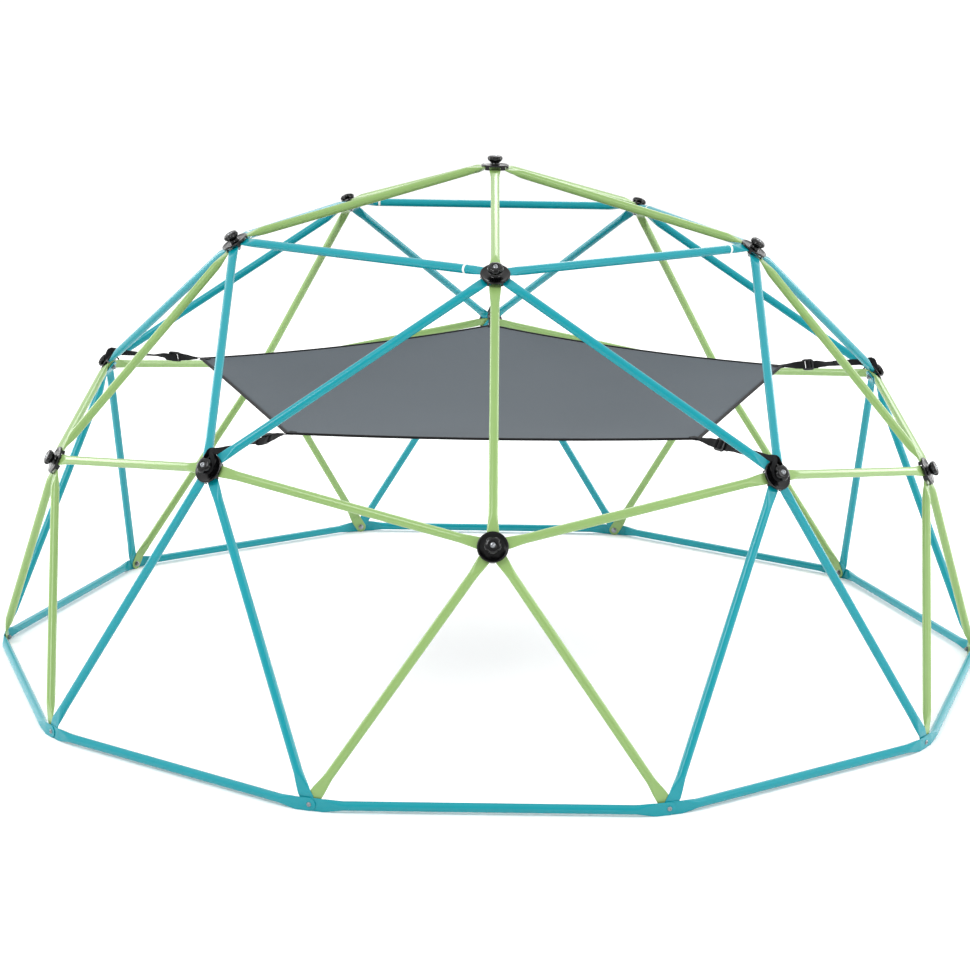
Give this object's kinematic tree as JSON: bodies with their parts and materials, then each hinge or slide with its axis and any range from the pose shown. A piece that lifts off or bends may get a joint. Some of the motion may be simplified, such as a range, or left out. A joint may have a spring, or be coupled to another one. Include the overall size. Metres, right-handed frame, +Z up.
{
  "type": "dome climber",
  "caption": "Free-standing geodesic climbing dome of steel tubes bolted through capped hubs, with a pentagonal fabric hammock strapped inside it at mid height.",
  "frame": {"origin": "on the ground, at the dome's vertical axis: the centre of the bounding box's bottom face", "axes": "+Z up along the dome's axis; -Y towards the front riser, which stands over the front five-way hub; X across the front"},
  "size_m": [3.0174, 2.9072, 1.5352],
  "materials": {
    "green_tube": "gloss powder coat, leaf green, on steel tube",
    "blue_tube": "gloss powder coat, turquoise blue, on steel tube",
    "cap_plastic": "black injection-moulded polypropylene, glossy",
    "zinc_steel": "bright zinc-plated steel",
    "white_band": "white adhesive sizing tape",
    "hammock_cloth": "grey woven polyester, plain weave",
    "webbing": "black polypropylene webbing and binding",
    "buckle_plastic": "black moulded acetal"
  },
  "bodies": {
    "frame": {"apex_spoke_1": "green_tube", "crown_bar_1": "blue_tube", "riser_1": "green_tube", "upper_pair_1": "blue_tube", "belt_pair_1": "green_tube", "five_way_legs_1": "green_tube", "six_way_legs_1": "blue_tube", "base_bars_1": "blue_tube", "apex_spoke_2": "green_tube", "crown_bar_2": "blue_tube", "riser_2": "green_tube", "upper_pair_2": "blue_tube", "belt_pair_2": "green_tube", "five_way_legs_2": "green_tube", "six_way_legs_2": "blue_tube", "base_bars_2": "blue_tube", "apex_spoke_3": "green_tube", "crown_bar_3": "blue_tube", "riser_3": "green_tube", "upper_pair_3": "blue_tube", "belt_pair_3": "green_tube", "five_way_legs_3": "green_tube", "six_way_legs_3": "blue_tube", "base_bars_3": "blue_tube", "apex_spoke_4": "green_tube", "crown_bar_4": "blue_tube", "riser_4": "green_tube", "upper_pair_4": "blue_tube", "belt_pair_4": "green_tube", "five_way_legs_4": "green_tube", "six_way_legs_4": "blue_tube", "base_bars_4": "blue_tube", "apex_spoke_5": "green_tube", "crown_bar_5": "blue_tube", "riser_5": "green_tube", "upper_pair_5": "blue_tube", "belt_pair_5": "green_tube", "five_way_legs_5": "green_tube", "six_way_legs_5": "blue_tube", "base_bars_5": "blue_tube", "apex_cap": "cap_plastic", "crown_caps": "cap_plastic", "belt_caps_five_way": "cap_plastic", "belt_caps_six_way": "cap_plastic", "hub_bolts": "zinc_steel", "hub_nuts": "zinc_steel", "base_bolts": "zinc_steel", "washers": "zinc_steel", "base_nuts": "zinc_steel", "crown_bar_bands": "white_band", "neck_loops": "webbing"},
    "hammock": {"hammock_panel": "hammock_cloth", "hammock_binding": "webbing", "corner_tabs": "webbing", "strap_buckles": "buckle_plastic"},
    "strap_1": {"strap_1": "webbing"},
    "strap_2": {"strap_2": "webbing"},
    "strap_3": {"strap_3": "webbing"},
    "strap_4": {"strap_4": "webbing"},
    "strap_5": {"strap_5": "webbing"}
  },
  "joints": [
    {"name": "hammock_bounce", "type": "slide", "parent": "frame", "child": "hammock", "axis": [0, 0, 1], "range_m": [-0.05, 0.02], "stiffness_N_per_m": 6000, "springref_m": 0.00225},
    {"name": "strap_1_tilt", "type": "hinge", "parent": "frame", "child": "strap_1", "pos_m": [0.71927, -0.98999, 0.85138], "axis": [0.809, 0.5878, 0], "range_deg": [-19.5, 8.5]},
    {"name": "strap_2_tilt", "type": "hinge", "parent": "frame", "child": "strap_2", "pos_m": [1.1638, 0.37814, 0.85138], "axis": [-0.309, 0.9511, 0], "range_deg": [-19.5, 8.5]},
    {"name": "strap_3_tilt", "type": "hinge", "parent": "frame", "child": "strap_3", "pos_m": [0, 1.2237, 0.85138], "axis": [-1, 0, 0], "range_deg": [-19.5, 8.5]},
    {"name": "strap_4_tilt", "type": "hinge", "parent": "frame", "child": "strap_4", "pos_m": [-1.1638, 0.37814, 0.85138], "axis": [-0.309, -0.9511, 0], "range_deg": [-19.5, 8.5]},
    {"name": "strap_5_tilt", "type": "hinge", "parent": "frame", "child": "strap_5", "pos_m": [-0.71927, -0.98999, 0.85138], "axis": [0.809, -0.5878, 0], "range_deg": [-19.5, 8.5]}
  ],
  "couplings": [
    {"joint": "strap_1_tilt", "follows": "hammock_bounce", "rad_per_m": 6.614},
    {"joint": "strap_2_tilt", "follows": "hammock_bounce", "rad_per_m": 6.614},
    {"joint": "strap_3_tilt", "follows": "hammock_bounce", "rad_per_m": 6.614},
    {"joint": "strap_4_tilt", "follows": "hammock_bounce", "rad_per_m": 6.614},
    {"joint": "strap_5_tilt", "follows": "hammock_bounce", "rad_per_m": 6.614}
  ]
}
